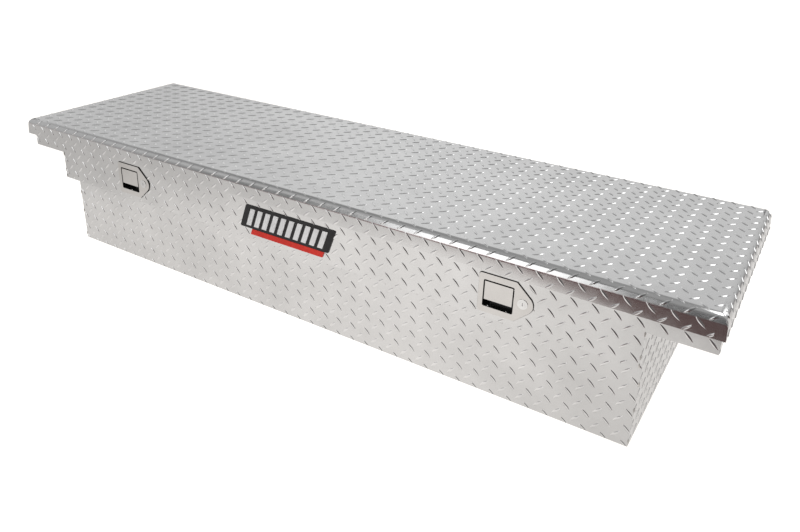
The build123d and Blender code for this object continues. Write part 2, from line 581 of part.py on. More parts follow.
    # claw: tail under the tang, arm in front of the striker, hook over it
    with BuildPart() as claw:
        hook_in = STRIKER_RISE + STRIKER_R + STRIKER_FIT
        hook_out = hook_in + CLAW_NOSE
        arm_back = -STRIKER_R - STRIKER_FIT
        arm_front = arm_back - CLAW_ARM
        with BuildSketch(Plane.YZ.offset(x - TANG_HALF)):
            with Locations((CLAW_AXIS_Y, CLAW_AXIS_Z)):
                Circle(hook_out)
                Circle(hook_in, mode=Mode.SUBTRACT)
                with Locations(((arm_front + CLAW_HOOK) / 2, hook_in)):
                    Rectangle(CLAW_HOOK - arm_front, 3 * CLAW_NOSE, mode=Mode.INTERSECT)
                arm_top = sqrt(hook_out ** 2 - arm_front ** 2)
                with Locations(((arm_front + arm_back) / 2, arm_top / 2)):
                    Rectangle(CLAW_ARM, arm_top)
                with Locations((-CLAW_TAIL / 2, CLAW_TAIL_RISE - CLAW_TAIL_H / 2)):
                    Rectangle(CLAW_TAIL, CLAW_TAIL_H)
                Circle(CLAW_HUB_R)
                Circle(CLAW_PIN_R + RUN_FIT, mode=Mode.SUBTRACT)
        extrude(amount=2 * TANG_HALF)
    save(claw.part, f"claw_{name}")

    # key lock in the nose of the plate
    lock_x = x + NOSE_X
    lock_face = PLATE_FACE_Y - LOCK_HEAD
    with BuildPart() as lock_barrel:
        rod_y(lock_x, lock_face, PLATE_FACE_Y, LATCH_Z, LOCK_HEAD_R)
        rod_y(lock_x, PLATE_FACE_Y, POCKET_Y, LATCH_Z, LOCK_R)
        rod_y(lock_x, lock_face - CUT, POCKET_Y + CUT, LATCH_Z, PLUG_R + RUN_FIT, Mode.SUBTRACT)
    save(lock_barrel.part, f"lock_barrel_{name}")

    with BuildPart() as lock_nut:
        with BuildSketch(Plane.XZ.offset(-(FRONT_Y + SHEET + NUT))):
            with Locations((lock_x, LATCH_Z)):
                RegularPolygon(NUT_R, 6)
                Circle(LOCK_R, mode=Mode.SUBTRACT)
        extrude(amount=NUT)
    save(lock_nut.part, f"lock_nut_{name}")

    with BuildPart() as lock_plug:
        rod_y(lock_x, lock_face, CAM_Y, LATCH_Z, PLUG_R)
        block(lock_x - KEY_SLOT_W / 2, lock_x + KEY_SLOT_W / 2, lock_face - CUT,
              lock_face + KEY_SLOT_DEPTH, LATCH_Z - KEY_SLOT_L / 2, LATCH_Z + KEY_SLOT_L / 2,
              Mode.SUBTRACT)
    save(lock_plug.part, f"lock_plug_{name}")

    with BuildPart() as lock_cam:
        with BuildSketch(Plane.XZ.offset(-(CAM_Y + CAM))):
            with Locations((lock_x, LATCH_Z)):
                Circle(CAM_WIDTH / 2)
                with Locations((0, -CAM_LENGTH / 2)):
                    Rectangle(CAM_WIDTH, CAM_LENGTH)
        extrude(amount=CAM)
        rim = lock_cam.edges().filter_by(Axis.Y).group_by(Axis.Z)[0]
        fillet(rim, CAM_WIDTH / 4)
    save(lock_cam.part, f"lock_cam_{name}")

    # striker loop hanging from the lid's front stiffener
    hat_low = LID_UNDER - HAT_HEIGHT
    with BuildPart() as striker:
        block(x - STRIKER_PLATE_W / 2, x + STRIKER_PLATE_W / 2,
              CLAW_AXIS_Y - HAT_WIDTH / 4, CLAW_AXIS_Y + HAT_WIDTH / 4,
              hat_low - STRIKER_PLATE, hat_low)
        loop_top = hat_low - STRIKER_PLATE / 2
        with BuildLine() as loop:
            FilletPolyline((x - STRIKER_HALF, CLAW_AXIS_Y, loop_top),
                           (x - STRIKER_HALF, CLAW_AXIS_Y, STRIKER_Z),
                           (x + STRIKER_HALF, CLAW_AXIS_Y, STRIKER_Z),
                           (x + STRIKER_HALF, CLAW_AXIS_Y, loop_top), radius=STRIKER_BEND)
        with BuildSketch(Plane(origin=loop.line @ 0, z_dir=loop.line % 0)):
            Circle(STRIKER_R)
        sweep(path=loop.line)
    save(striker.part, f"striker_{name}")

# ================================================================ badge
BADGE_Z = LATCH_Z + BADGE_RISE


def slanted(width, height, slant):
    """Parallelogram round the current place, its top edge shifted by slant."""
    with BuildLine() as outline:
        Polyline((-(width + slant) / 2, -height / 2), ((width - slant) / 2, -height / 2),
                 ((width + slant) / 2, height / 2), (-(width - slant) / 2, height / 2), close=True)
    make_face(outline.edges())


with BuildPart() as badge_base:
    with BuildSketch(facing(0, FRONT_Y, BADGE_Z)) as field:
        slanted(BADGE_W, BADGE_H, BADGE_SLANT)
        fillet(field.vertices(), BADGE_CORNER_R)
    extrude(amount=BADGE_BASE)
save(badge_base.part, "badge_base")

with BuildPart() as badge_bars:
    bar_room = BADGE_W - BADGE_SLANT - 2 * BADGE_BORDER - BADGE_BAR_W
    bar_h = BADGE_H - 2 * BADGE_BORDER
    bar_slant = BADGE_SLANT * bar_h / BADGE_H
    for i in range(BADGE_BAR_COUNT):
        bar_x = bar_room * (i / (BADGE_BAR_COUNT - 1) - 0.5)
        with BuildSketch(facing(bar_x, FRONT_Y - BADGE_BASE, BADGE_Z)):
            slanted(BADGE_BAR_W, bar_h, bar_slant)
        extrude(amount=BADGE_BAR)
save(badge_bars.part, "badge_bars")

with BuildPart() as badge_stripe:
    stripe_z = BADGE_Z - BADGE_H / 2 - STRIPE_GAP - STRIPE_H / 2
    with BuildSketch(facing(0, FRONT_Y, stripe_z)):
        slanted(STRIPE_W, STRIPE_H, BADGE_SLANT * STRIPE_H / BADGE_H)
    extrude(amount=STRIPE_THICK)
save(badge_stripe.part, "badge_stripe")

# ================================================================ gas struts
# Both pivots stand the same distance from the hinge, so the strut turns by exactly half the lid's angle.
LID_PIVOT_Y = HINGE_Y - sqrt(STRUT_ARM ** 2 - STRUT_PIVOT_RISE ** 2)
LID_PIVOT_Z = HINGE_Z + STRUT_PIVOT_RISE
BODY_PIVOT_Y = BACK_Y - SHEET - STRUT_BACK_GAP
BODY_PIVOT_Z = HINGE_Z - sqrt(STRUT_ARM ** 2 - (HINGE_Y - BODY_PIVOT_Y) ** 2)
STRUT_CLOSED = hypot(LID_PIVOT_Y - BODY_PIVOT_Y, LID_PIVOT_Z - BODY_PIVOT_Z)
SPREAD = 2 * asin(STRUT_CLOSED / (2 * STRUT_ARM))
STRUT_OPEN = 2 * STRUT_ARM * sin((SPREAD + radians(LID_OPEN)) / 2)
STROKE = STRUT_OPEN - STRUT_CLOSED
BORE_START = TUBE_START + TUBE_WALL
TUBE_END = BORE_START + PISTON_FOOT_GAP + PISTON + STROKE + PISTON_STOP_GAP + GLAND
ROD_LENGTH = STRUT_OPEN - (TUBE_END - GLAND) + PISTON + PISTON_STOP_GAP
STRUT_DIR = ((LID_PIVOT_Y - BODY_PIVOT_Y) / STRUT_CLOSED, (LID_PIVOT_Z - BODY_PIVOT_Z) / STRUT_CLOSED)


def stud(x_plate, x_strut, side, y, z):
    """Pivot stud from a plate face to a strut eye: collar, shank and retaining cap."""
    x_near = x_strut + side * (EYE_HALF + STUD_SIDE_GAP)
    x_far = x_strut - side * (EYE_HALF + STUD_SIDE_GAP)
    rod_x(*sorted((x_plate, x_near)), y, z, STUD_COLLAR_R)
    rod_x(*sorted((x_near, x_far)), y, z, STUD_R)
    rod_x(*sorted((x_far, x_far - side * STUD_CAP)), y, z, STUD_CAP_R)


for name, side in SIDES:
    x_strut = side * (TUB_END_IN - STRUT_INSET)
    half = MOUNT_PLATE_SIZE / 2

    with BuildPart() as strut_body_bracket:
        plate_x = side * (TUB_END_IN - MOUNT_PLATE)
        block(*sorted((plate_x, side * TUB_END_IN)), BODY_PIVOT_Y - half, BODY_PIVOT_Y + half,
              BODY_PIVOT_Z - half, BODY_PIVOT_Z + half)
        stud(plate_x, x_strut, side, BODY_PIVOT_Y, BODY_PIVOT_Z)
    save(strut_body_bracket.part, f"strut_body_bracket_{name}")

    with BuildPart() as strut_lid_bracket:
        outer_x = side * (TUB_END_IN - LID_BRACKET_GAP)
        plate_x = outer_x - side * MOUNT_PLATE
        block(*sorted((plate_x, outer_x)), LID_PIVOT_Y - half, LID_PIVOT_Y + half,
              LID_PIVOT_Z - EYE_R, LID_UNDER)
        block(*sorted((outer_x - side * LID_BRACKET_FOOT, outer_x)), LID_PIVOT_Y - half,
              LID_PIVOT_Y + half, LID_UNDER - MOUNT_PLATE, LID_UNDER)
        stud(plate_x, x_strut, side, LID_PIVOT_Y, LID_PIVOT_Z)
    save(strut_lid_bracket.part, f"strut_lid_bracket_{name}")

    with BuildPart(Plane(origin=(x_strut, BODY_PIVOT_Y, BODY_PIVOT_Z), x_dir=(1, 0, 0),
                         z_dir=(0, *STRUT_DIR))) as strut_cylinder:
        with Locations(Location((0, 0, 0), (0, 90, 0))):
            Cylinder(EYE_R, 2 * EYE_HALF)
        with Locations((0, 0, (TUBE_START + EYE_R) / 2)):
            Cylinder(NECK_R, TUBE_START - EYE_R + 2 * CUT)
        with Locations((0, 0, (TUBE_START + TUBE_END) / 2)):
            Cylinder(TUBE_R, TUBE_END - TUBE_START)
        bore_end = TUBE_END - GLAND
        with Locations((0, 0, (BORE_START + bore_end) / 2)):
            Cylinder(TUBE_R - TUBE_WALL, bore_end - BORE_START, mode=Mode.SUBTRACT)
        with Locations((0, 0, TUBE_END)):
            Cylinder(ROD_R + PISTON_FIT, 2 * (GLAND + CUT), mode=Mode.SUBTRACT)
        with Locations(Location((0, 0, 0), (0, 90, 0))):
            Cylinder(STUD_R + RUN_FIT, 2 * (EYE_HALF + CUT), mode=Mode.SUBTRACT)
    save(strut_cylinder.part, f"strut_cylinder_{name}")

    with BuildPart(Plane(origin=(x_strut, LID_PIVOT_Y, LID_PIVOT_Z), x_dir=(1, 0, 0),
                         z_dir=(0, -STRUT_DIR[0], -STRUT_DIR[1]))) as strut_rod:
        with Locations(Location((0, 0, 0), (0, 90, 0))):
            Cylinder(EYE_R, 2 * EYE_HALF)
        with Locations((0, 0, (EYE_R - CUT + ROD_LENGTH) / 2)):
            Cylinder(ROD_R, ROD_LENGTH - EYE_R + CUT)
        with Locations((0, 0, ROD_LENGTH - PISTON / 2)):
            Cylinder(TUBE_R - TUBE_WALL - PISTON_FIT, PISTON)
        with Locations(Location((0, 0, 0), (0, 90, 0))):
            Cylinder(STUD_R + RUN_FIT, 2 * (EYE_HALF + CUT), mode=Mode.SUBTRACT)
    save(strut_rod.part, f"strut_rod_{name}")
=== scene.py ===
"""Looks of a crossover truck tool box in aluminium tread plate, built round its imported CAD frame."""
import json
import math

import bmesh
import bpy
from mathutils import Matrix, Vector


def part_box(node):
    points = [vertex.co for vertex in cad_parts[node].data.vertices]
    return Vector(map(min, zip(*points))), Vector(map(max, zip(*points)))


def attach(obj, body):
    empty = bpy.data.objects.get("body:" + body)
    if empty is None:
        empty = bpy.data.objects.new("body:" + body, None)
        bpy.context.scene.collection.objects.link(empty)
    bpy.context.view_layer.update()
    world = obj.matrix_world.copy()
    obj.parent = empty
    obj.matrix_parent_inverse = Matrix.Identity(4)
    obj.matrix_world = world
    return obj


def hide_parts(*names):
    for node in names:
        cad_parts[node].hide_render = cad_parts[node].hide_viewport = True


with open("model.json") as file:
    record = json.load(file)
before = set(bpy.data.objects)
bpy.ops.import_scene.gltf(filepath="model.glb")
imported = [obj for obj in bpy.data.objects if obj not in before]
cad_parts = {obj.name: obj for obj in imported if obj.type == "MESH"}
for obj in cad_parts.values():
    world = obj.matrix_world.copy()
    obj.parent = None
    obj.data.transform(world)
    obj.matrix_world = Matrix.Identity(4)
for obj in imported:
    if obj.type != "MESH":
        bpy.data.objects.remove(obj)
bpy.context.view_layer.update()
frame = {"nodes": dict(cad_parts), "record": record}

NODES = frame["nodes"]
SIDES = ("left", "right")

# ---------------------------------------------------------------- places read from the frame
front_lo, front_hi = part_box("front_sheet")
_, rear_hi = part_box("rear_sheet")
floor_lo, floor_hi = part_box("bottom_sheet")
lid_lo, lid_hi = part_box("lid_skin")
MOUNTS = {m["name"]: m for m in frame["record"]["mounts"]}
OPENINGS = {o["name"]: o["box_m"] for o in frame["record"]["physics"]["openings"]}
WING_Z = MOUNTS["rail_hold_down"]["pos_m"][2]
LEDGE_Z = OPENINGS["rail_space_right"][0][2]
SHEET = floor_hi[2] - floor_lo[2]
FRONT_Y = front_lo[1]
LOWER_Y = floor_lo[1] - SHEET
BACK_Y = rear_hi[1]
TUB_HALF = floor_hi[0]
WING_TIP = front_hi[0]
RIM_TOP = front_hi[2]

# ---------------------------------------------------------------- tread pattern
PITCH_X = 0.0377          # bar to bar along the box
PITCH_Y = 0.0346          # row to row
BAR_LENGTH = 0.0255
BAR_WIDTH = 0.0060
BAR_HEIGHT = 0.0011
BAR_SINK = 0.00015        # foot of a bar below the sheet's face
BAR_REACH = BAR_LENGTH * 0.36     # half a bar's span along either axis, with a little over
BAR_STATIONS = 9
BAR_ACROSS = 6
CREST_TAPER = 0.55        # how late the crest drops towards a bar's ends
CREST_ROUND = 1.9         # how full the crest is from side to side
FOOT_SHARP = 8            # how close to a bar's edge its foot turns down
UPPER_PHASE = (0.6759, 0.2787)
LOWER_PHASE = (0.6424, 0.1399)
LID_PHASE = (0.5768, 0.2166)
REAR_PHASE = (0.6611, 0.2702)
END_PHASE = (0.0123, 0.1321)
TIP_PHASE = (0.0123, 0.2789)
REAR_TOP = lid_lo[2] - 0.003      # bars on the rear sheet stop just under the lid's lip
TIP_TOP = lid_lo[2] + 0.002       # and those on the wing tips stop just inside it


# ================================================================ node materials
def link(nt, a, b):
    nt.links.new(a, b)


def node(nt, kind, **values):
    made = nt.nodes.new(kind)
    for key, value in values.items():
        if key in made.inputs:
            made.inputs[key].default_value = value
        else:
            setattr(made, key, value)
    return made


def noise(nt, coords, scale, detail=4.0, roughness=0.55, stretch=None):
    """Noise over object coordinates; stretch scales each axis first."""
    source = coords
    if stretch:
        mapping = node(nt, "ShaderNodeMapping")
        mapping.inputs["Scale"].default_value = stretch
        link(nt, coords, mapping.inputs["Vector"])
        source = mapping.outputs["Vector"]
    made = node(nt, "ShaderNodeTexNoise", Scale=scale, Detail=detail, Roughness=roughness)
    link(nt, source, made.inputs["Vector"])
    return made.outputs["Fac"]


def spread(nt, value, low, high, from_low=0.3, from_high=0.7):
    """Map a noise value from its usual band to low..high."""
    made = node(nt, "ShaderNodeMapRange")
    made.inputs["From Min"].default_value = from_low
    made.inputs["From Max"].default_value = from_high
    made.inputs["To Min"].default_value = low
    made.inputs["To Max"].default_value = high
    link(nt, value, made.inputs["Value"])
    return made.outputs["Result"]


def ramp(nt, value, stops):
    made = node(nt, "ShaderNodeValToRGB")
    band = made.color_ramp
    while len(band.elements) < len(stops):
        band.elements.new(0.5)
    for element, (place, colour) in zip(band.elements, stops):
        element.position = place
        element.color = (*colour, 1.0)
    link(nt, value, made.inputs["Fac"])
    return made.outputs["Color"]


def bump(nt, height, distance, strength, below=None):
    made = node(nt, "ShaderNodeBump")
    made.inputs["Distance"].default_value = distance
    made.inputs["Strength"].default_value = strength
    link(nt, height, made.inputs["Height"])
    if below is not None:
        link(nt, below, made.inputs["Normal"])
    return made.outputs["Normal"]


def maths(nt, operation, a, b=None):
    made = node(nt, "ShaderNodeMath", operation=operation)
    for socket, value in zip(made.inputs, (a, b)):
        if isinstance(value, (int, float)):
            socket.default_value = value
        elif value is not None:
            link(nt, value, socket)
    return made.outputs["Value"]


def slope(nt, value, places, heights):
    """Piecewise level over a value; places and heights are lists of the same length."""
    low, high = places[0], places[-1]
    made = node(nt, "ShaderNodeFloatCurve")
    curve = made.mapping.curves[0]
    top = max(heights)
    curve.points[0].location = (0.0, heights[0] / top)
    curve.points[1].location = (1.0, heights[-1] / top)
    for place, height in zip(places[1:-1], heights[1:-1]):
        curve.points.new((place - low) / (high - low), height / top)
    for point in curve.points:
        point.handle_type = "VECTOR"
    made.mapping.update()
    scaled = maths(nt, "DIVIDE", maths(nt, "SUBTRACT", value, low), high - low)
    link(nt, scaled, made.inputs["Value"])
    return maths(nt, "MULTIPLY", made.outputs["Value"], top)


def start(name):
    """New material with its shader, and the object coordinates."""
    mat = bpy.data.materials.new(name)
    mat.use_nodes = True
    nt = mat.node_tree
    shader = nt.nodes["Principled BSDF"]
    coords = node(nt, "ShaderNodeTexCoord").outputs["Object"]
    return mat, nt, shader, coords


def metal(name, dark, light, rough, waves, grain, blotch=9.0, stretch=None, edge=1.0):
    """Bare or plated metal: blotched colour, uneven roughness, sheet waves and a fine grain."""
    mat, nt, shader, coords = start(name)
    blotches = noise(nt, coords, blotch, 5.0, 0.6)
    link(nt, ramp(nt, blotches, ((0.32, dark), (0.68, light))), shader.inputs["Base Color"])
    shader.inputs["Metallic"].default_value = 1.0
    smears = noise(nt, coords, blotch * 3.0, 6.0, 0.7)
    link(nt, spread(nt, smears, *rough), shader.inputs["Roughness"])
    distance, scale = waves
    normal = bump(nt, noise(nt, coords, scale, 2.0, 0.4), distance, 1.0)
    distance, scale = grain
    normal = bump(nt, noise(nt, coords, scale, 3.0, 0.6, stretch), distance, 1.0, normal)
    link(nt, normal, shader.inputs["Normal"])
    shader.inputs["Specular Tint"].default_value = (edge, edge, edge, 1.0)
    return mat


def polished(name):
    return metal(name, (0.41, 0.40, 0.39), (0.47, 0.46, 0.45), (0.06, 0.14),
                 (0.0002, 20.0), (0.000004, 1200.0), stretch=(0.05, 1.0, 1.0))


POCKET_FACE = 0.0016      # painted shade (near black) starts this far in front of the tub's front sheet
POCKET_BLEND = 0.0006     # and is full this much farther back
MIX_A, MIX_B, MIX_COLOUR = 6, 7, 2    # colour sockets of a Mix node


def pan_metal():
    """Latch pan: bright plate, with painted shade, near black and not metallic, over the finger pocket
    behind it.
    """
    mat = polished("latch_pan")
    nt = mat.node_tree
    shader = nt.nodes["Principled BSDF"]
    coords = node(nt, "ShaderNodeTexCoord").outputs["Object"]
    split = node(nt, "ShaderNodeSeparateXYZ")
    link(nt, coords, split.inputs["Vector"])
    edge = FRONT_Y - POCKET_FACE
    bright = spread(nt, split.outputs["Y"], 1.0, 0.0, edge - POCKET_BLEND, edge)
    bare = shader.inputs["Base Color"].links[0].from_socket
    # painted shade: the pocket behind the plate is coloured near black and made not metallic, standing in
    # for the shade in the recess
    pocket_painted_shade = ramp(nt, noise(nt, coords, 300.0), ((0.3, (0.008, 0.008, 0.008)), (0.7, (0.02, 0.02, 0.02))))
    mixed = node(nt, "ShaderNodeMix", data_type="RGBA")
    link(nt, bright, mixed.inputs["Factor"])
    link(nt, pocket_painted_shade, mixed.inputs[MIX_A])
    link(nt, bare, mixed.inputs[MIX_B])
    link(nt, mixed.outputs[MIX_COLOUR], shader.inputs["Base Color"])
    link(nt, bright, shader.inputs["Metallic"])
    return mat


def paint(name, dark, light, rough, grain, blotch=30.0, gloss=0.5):
    """Rubber, plastic or paint: slight colour drift, dust, scuffs and a fine texture."""
    mat, nt, shader, coords = start(name)
    blotches = noise(nt, coords, blotch, 5.0, 0.6)
    link(nt, ramp(nt, blotches, ((0.3, dark), (0.7, light))), shader.inputs["Base Color"])
    scuffs = noise(nt, coords, blotch * 4.0, 6.0, 0.7, (1.0, 4.0, 1.0))
    link(nt, spread(nt, scuffs, *rough), shader.inputs["Roughness"])
    distance, scale = grain
    link(nt, bump(nt, noise(nt, coords, scale, 4.0), distance, 1.0), shader.inputs["Normal"])
    shader.inputs["Specular IOR Level"].default_value = gloss
    return mat


MATS = {
    "plate": metal("tread_sheet", (0.445, 0.445, 0.445), (0.495, 0.495, 0.495), (0.15, 0.22),
                   (0.0007, 7.0), (0.00001, 900.0), edge=0.8),
    "bars": metal("tread_bars", (0.48, 0.48, 0.48), (0.56, 0.56, 0.56), (0.10, 0.18),
                  (0.0002, 20.0), (0.00001, 1500.0), edge=0.8),
    "sheet": metal("plain_sheet", (0.48, 0.48, 0.48), (0.58, 0.58, 0.57), (0.3, 0.45),
                   (0.0008, 9.0), (0.00002, 500.0), stretch=(0.1, 1.0, 1.0)),
    "stainless": polished("stainless_polished"),
    "zinc": metal("zinc_plated", (0.52, 0.53, 0.53), (0.68, 0.67, 0.62), (0.22, 0.42),
                  (0.0002, 40.0), (0.00002, 900.0), blotch=60.0),
    "chrome": metal("chrome_plated", (0.46, 0.46, 0.46), (0.54, 0.54, 0.54), (0.05, 0.12),
                    (0.0001, 30.0), (0.000003, 900.0), blotch=40.0),
    "weld": metal("weld_bead", (0.30, 0.29, 0.28), (0.55, 0.54, 0.52), (0.3, 0.6),
                  (0.0006, 260.0), (0.0001, 1200.0), blotch=120.0),
    "rubber": paint("foam_rubber", (0.012, 0.012, 0.012), (0.032, 0.032, 0.033), (0.7, 0.95),
                    (0.0003, 900.0)),
    "black": paint("badge_black", (0.010, 0.010, 0.011), (0.020, 0.020, 0.021), (0.12, 0.3),
                   (0.00003, 400.0), gloss=0.16),
    "silver": paint("badge_silver", (0.62, 0.63, 0.64), (0.74, 0.75, 0.76), (0.16, 0.32),
                    (0.00003, 500.0), gloss=0.4),
    "red": paint("badge_red", (0.50, 0.022, 0.014), (0.66, 0.035, 0.022), (0.18, 0.36),
                 (0.00003, 500.0), gloss=0.12),
    "strut": paint("strut_paint", (0.014, 0.014, 0.015), (0.030, 0.030, 0.031), (0.28, 0.5),
                   (0.00004, 700.0)),
    "pan": pan_metal(),
}
SLOT_LOOK = {"tread_plate": "plate", "plain_sheet": "sheet", "weld": "weld", "stainless": "stainless",
             "zinc_steel": "zinc", "chrome": "chrome", "rubber_black": "rubber", "gloss_black": "black",
             "silver_trim": "silver", "red_trim": "red", "black_paint": "strut"}
for sub in frame["record"]["subparts"]:
    look = MATS[SLOT_LOOK[sub["material_slot"]]]
    slots = NODES[sub["node"]].material_slots
    for slot in slots:
        slot.material = look
    if not slots:
        NODES[sub["node"]].data.materials.append(look)
for side in SIDES:
    NODES[f"latch_pan_{side}"].material_slots[0].material = MATS["pan"]


# ================================================================ mesh helpers
def piece(name, verts, faces, look, slot, body, smooth=30.0):
    """Mesh object from lists, with a material and the body it rides on; the slot argument is not used."""
    mesh = bpy.data.meshes.new(name)
    mesh.from_pydata([tuple(v) for v in verts], [], faces)
    mesh.validate()
    obj = bpy.data.objects.new(name, mesh)
    bpy.context.scene.collection.objects.link(obj)
    for poly in mesh.polygons:
        poly.use_smooth = True
    mesh.set_sharp_from_angle(angle=math.radians(smooth))
    mesh.materials.append(MATS[look])
    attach(obj, body)
    return obj


def bar_shape(climb):
    """One raised bar as (u, v, height) points and faces, its length at 45 degrees, up or down."""
    along = Vector((math.cos(math.pi / 4), climb * math.sin(math.pi / 4)))
    across = Vector((-along.y, along.x))
    points = []
    for i in range(BAR_STATIONS):
        s = -1.0 + 2.0 * i / (BAR_STATIONS - 1)
        ends = i in (0, BAR_STATIONS - 1)
        width = BAR_WIDTH / 2 * (1.0 - s * s)
        crest = BAR_HEIGHT * (1.0 - s * s) ** CREST_TAPER
        count = 1 if ends else BAR_ACROSS + 1
        for j in range(count):
            c = 0.0 if ends else -1.0 + 2.0 * j / BAR_ACROSS
            rise = crest * (1.0 - abs(c) ** CREST_ROUND) - BAR_SINK * abs(c) ** FOOT_SHARP
            if ends:
                rise = -BAR_SINK
            place = along * (s * BAR_LENGTH / 2) + across * (c * width)
            points.append((place.x, place.y, rise))
    faces = []
    row = BAR_ACROSS + 1
    rows = BAR_STATIONS - 2
    for j in range(BAR_ACROSS):
        faces.append((0, 1 + j + 1, 1 + j))
        for i in range(rows - 1):
            a = 1 + i * row + j
            faces.append((a, a + 1, a + row + 1, a + row))
        a = 1 + (rows - 1) * row + j
        faces.append((a, a + 1, 1 + rows * row))
    rim = [0] + [1 + i * row for i in range(rows)] + [1 + rows * row]
    rim += [1 + i * row + row - 1 for i in reversed(range(rows))]
    faces.append(tuple(rim))
    return points, faces


BAR_UP = bar_shape(1.0)
BAR_DOWN = bar_shape(-1.0)


def cut_bar(points, faces, cuts):
    """Cut a bar off at lines in (u, v): each cut keeps the side where nu*u + nv*v <= limit."""
    bm = bmesh.new()
    verts = [bm.verts.new(p) for p in points]
    for face in faces:
        bm.faces.new([verts[i] for i in face])
    for nu, nv, limit in cuts:
        geom = bm.verts[:] + bm.edges[:] + bm.faces[:]
        if not geom:
            break
        done = bmesh.ops.bisect_plane(bm, geom=geom, plane_co=(nu * limit, nv * limit, 0.0),
                                      plane_no=(nu, nv, 0.0), clear_outer=True)
        edges = [e for e in done["geom_cut"] if isinstance(e, bmesh.types.BMEdge)]
        if edges:
            bmesh.ops.holes_fill(bm, edges=edges)
    bm.verts.index_update()
    out = [tuple(v.co) for v in bm.verts], [tuple(v.index for v in f.verts) for f in bm.faces]
    bm.free()
    return out


def bar_field(phase, area, place, cuts_for=None, skip=None):
    """All the bars of one sheet. area is (u0, u1, v0, v1); place(u, v, height) gives a point."""
    verts = []
    faces = []
    u0, u1, v0, v1 = area
    for shape, du, dv in ((BAR_DOWN, 0.0, 0.0), (BAR_UP, PITCH_X / 2, PITCH_Y / 2)):
        first_u = math.ceil((u0 - BAR_REACH - phase[0] - du) / PITCH_X)
        last_u = math.floor((u1 + BAR_REACH - phase[0] - du) / PITCH_X)
        first_v = math.ceil((v0 - BAR_REACH - phase[1] - dv) / PITCH_Y)
        last_v = math.floor((v1 + BAR_REACH - phase[1] - dv) / PITCH_Y)
        for iu in range(first_u, last_u + 1):
            for iv in range(first_v, last_v + 1):
                u = phase[0] + du + iu * PITCH_X
                v = phase[1] + dv + iv * PITCH_Y
                if skip and skip(u, v):
                    continue
                points = [(u + p[0], v + p[1], p[2]) for p in shape[0]]
                own = shape[1]
                cuts = []
                if u - BAR_REACH < u0:
                    cuts.append((-1.0, 0.0, -u0))
                if u + BAR_REACH > u1:
                    cuts.append((1.0, 0.0, u1))
                if v - BAR_REACH < v0:
                    cuts.append((0.0, -1.0, -v0))
                if v + BAR_REACH > v1:
                    cuts.append((0.0, 1.0, v1))
                if cuts_for:
                    cuts += cuts_for(u, v)
                if cuts:
                    points, own = cut_bar(points, own, cuts)
                base = len(verts)
                verts += [place(*p) for p in points]
                faces += [tuple(base + i for i in f) for f in own]
    return verts, faces


def flipped(faces):
    return [tuple(reversed(face)) for face in faces]


def join_fields(parts):
    """One list of points and one of faces from several."""
    verts = []
    faces = []
    for v, f in parts:
        base = len(verts)
        verts += v
        faces += [tuple(base + i for i in face) for face in f]
    return verts, faces


# ================================================================ tub: bars on every sheet
latch_boxes = [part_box(f"latch_gasket_{side}") for side in SIDES]
badge_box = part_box("badge_base")
EDGE_IN = 0.0012          # bars stop this far inside a sheet's edge
CORNER_SLACK = 0.004      # a bar centred this far past a corner is left out whole
PLATE_SIDE = 0.004        # so is a bar centred this far inside a latch plate or the badge, from its left
PLATE_NOSE = 0.012        # from its right
PLATE_TOP = 0.006         # and from above and below


def under_fitting(x, z):
    """True where a whole bar would lie under a latch plate or the badge."""
    for lo, hi in latch_boxes + [badge_box]:
        if lo[0] + PLATE_SIDE < x < hi[0] - PLATE_NOSE and lo[2] + PLATE_TOP < z < hi[2] - PLATE_TOP:
            return True
    return False


def wing_cuts(x, z):
    """Edge of the wing's underside, and the tub's end below it."""
    cuts = []
    side = 1.0 if x > 0 else -1.0
    if abs(x) > TUB_HALF and z > WING_Z and z - BAR_REACH < WING_Z:
        cuts.append((0.0, -1.0, -(WING_Z + EDGE_IN)))
    if z < WING_Z and abs(x) + BAR_REACH > TUB_HALF:
        cuts.append((side, 0.0, TUB_HALF - EDGE_IN))
    return cuts


def past_tub(x, z):
    return z < WING_Z and abs(x) > TUB_HALF + CORNER_SLACK


fields = [
    bar_field(UPPER_PHASE, (-WING_TIP + EDGE_IN, WING_TIP - EDGE_IN, LEDGE_Z + EDGE_IN, RIM_TOP - EDGE_IN),
              lambda x, z, h: (x, FRONT_Y - h, z), wing_cuts,
              lambda x, z: under_fitting(x, z) or past_tub(x, z)),
    bar_field(LOWER_PHASE, (-TUB_HALF + EDGE_IN, TUB_HALF - EDGE_IN, EDGE_IN, LEDGE_Z - EDGE_IN),
              lambda x, z, h: (x, LOWER_Y - h, z)),
]


piece("tread_bars_front", *join_fields(fields), "bars", "tread_plate", "tub")


rear_verts, rear_faces = bar_field(
    REAR_PHASE, (-WING_TIP + EDGE_IN, WING_TIP - EDGE_IN, EDGE_IN, REAR_TOP),
    lambda x, z, h: (x, BACK_Y + h, z), wing_cuts, past_tub)
piece("tread_bars_back", rear_verts, flipped(rear_faces), "bars", "tread_plate", "tub")


